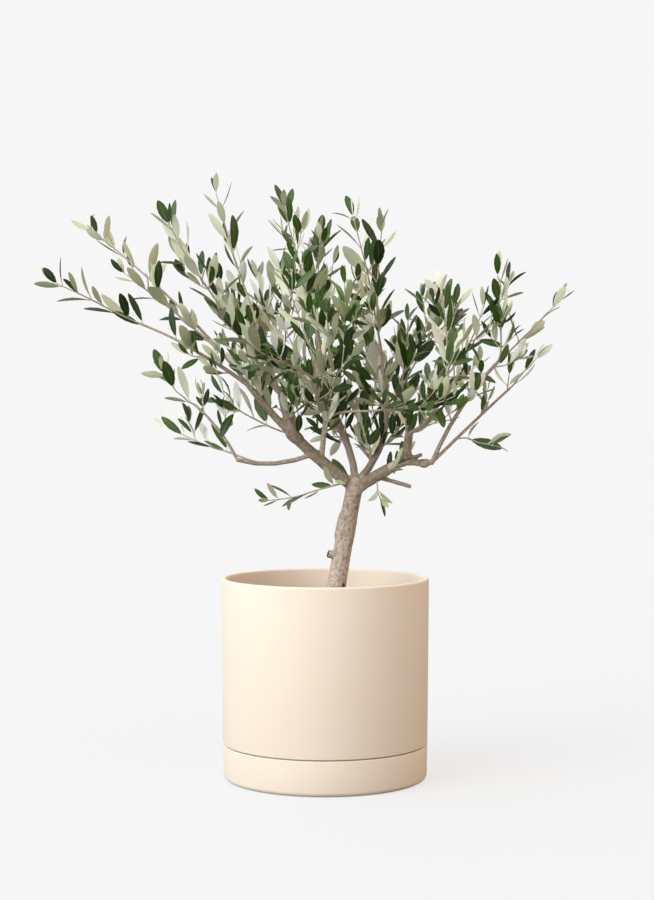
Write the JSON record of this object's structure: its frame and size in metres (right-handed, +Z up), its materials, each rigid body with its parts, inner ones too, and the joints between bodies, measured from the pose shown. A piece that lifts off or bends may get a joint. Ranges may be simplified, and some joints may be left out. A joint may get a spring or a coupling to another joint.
{
  "type": "potted olive tree",
  "caption": "Young olive tree with a short leaning trunk and a wide, open crown, standing in a straight-sided matte stoneware planter on a matching saucer.",
  "frame": {"origin": "centre of the saucer's flat underside, on the surface that the planter stands on", "axes": "+Z up along the planter's axis; +X to the right and +Y away from someone who sees the trunk lean to the right"},
  "size_m": [0.6328, 0.4535, 0.731],
  "materials": {
    "stoneware": "matte",
    "soil": "matte",
    "bark": "matte",
    "foliage": "satin"
  },
  "bodies": {
    "root": {"saucer": "stoneware", "planter": "stoneware", "root_ball": "soil", "trunk": "bark", "left_bough": "bark", "left_upper_bough": "bark", "left_long_shoot": "bark", "left_pruned_limb": "bark", "left_inner_limb": "bark", "lower_left_limb": "bark", "lower_left_shoot": "bark", "right_bough": "bark", "right_upright_limb": "bark", "right_outer_limb": "bark", "right_long_limb": "bark", "right_low_limb": "bark", "middle_left_bough": "bark", "middle_right_bough": "bark", "back_left_bough": "bark", "back_right_bough": "bark", "front_limb": "bark", "front_right_limb": "bark", "far_left_spray": "foliage", "left_middle_spray": "foliage", "left_high_spray": "foliage", "left_crest_spray": "foliage", "left_shoulder_spray": "foliage", "tall_spray": "foliage", "tall_foot_spray": "foliage", "crest_spray": "foliage", "crest_front_spray": "foliage", "centre_spray": "foliage", "right_crest_spray": "foliage", "right_crest_front_spray": "foliage", "centre_front_spray": "foliage", "low_front_spray": "foliage", "middle_left_spray": "foliage", "middle_right_spray": "foliage", "right_front_spray": "foliage", "near_right_spray": "foliage", "centre_right_spray": "foliage", "right_middle_spray": "foliage", "right_high_spray": "foliage", "right_outer_spray": "foliage", "low_right_spray": "foliage", "lower_right_spray": "foliage", "lower_left_spray": "foliage", "lower_left_back_spray": "foliage", "inner_left_spray": "foliage", "low_spray": "foliage", "low_centre_spray": "foliage", "fork_spray": "foliage", "back_left_spray": "foliage", "back_left_low_spray": "foliage", "back_high_spray": "foliage", "back_centre_spray": "foliage", "back_right_spray": "foliage", "back_right_low_spray": "foliage", "front_left_spray": "foliage", "front_spray": "foliage"}
  },
  "joints": []
}
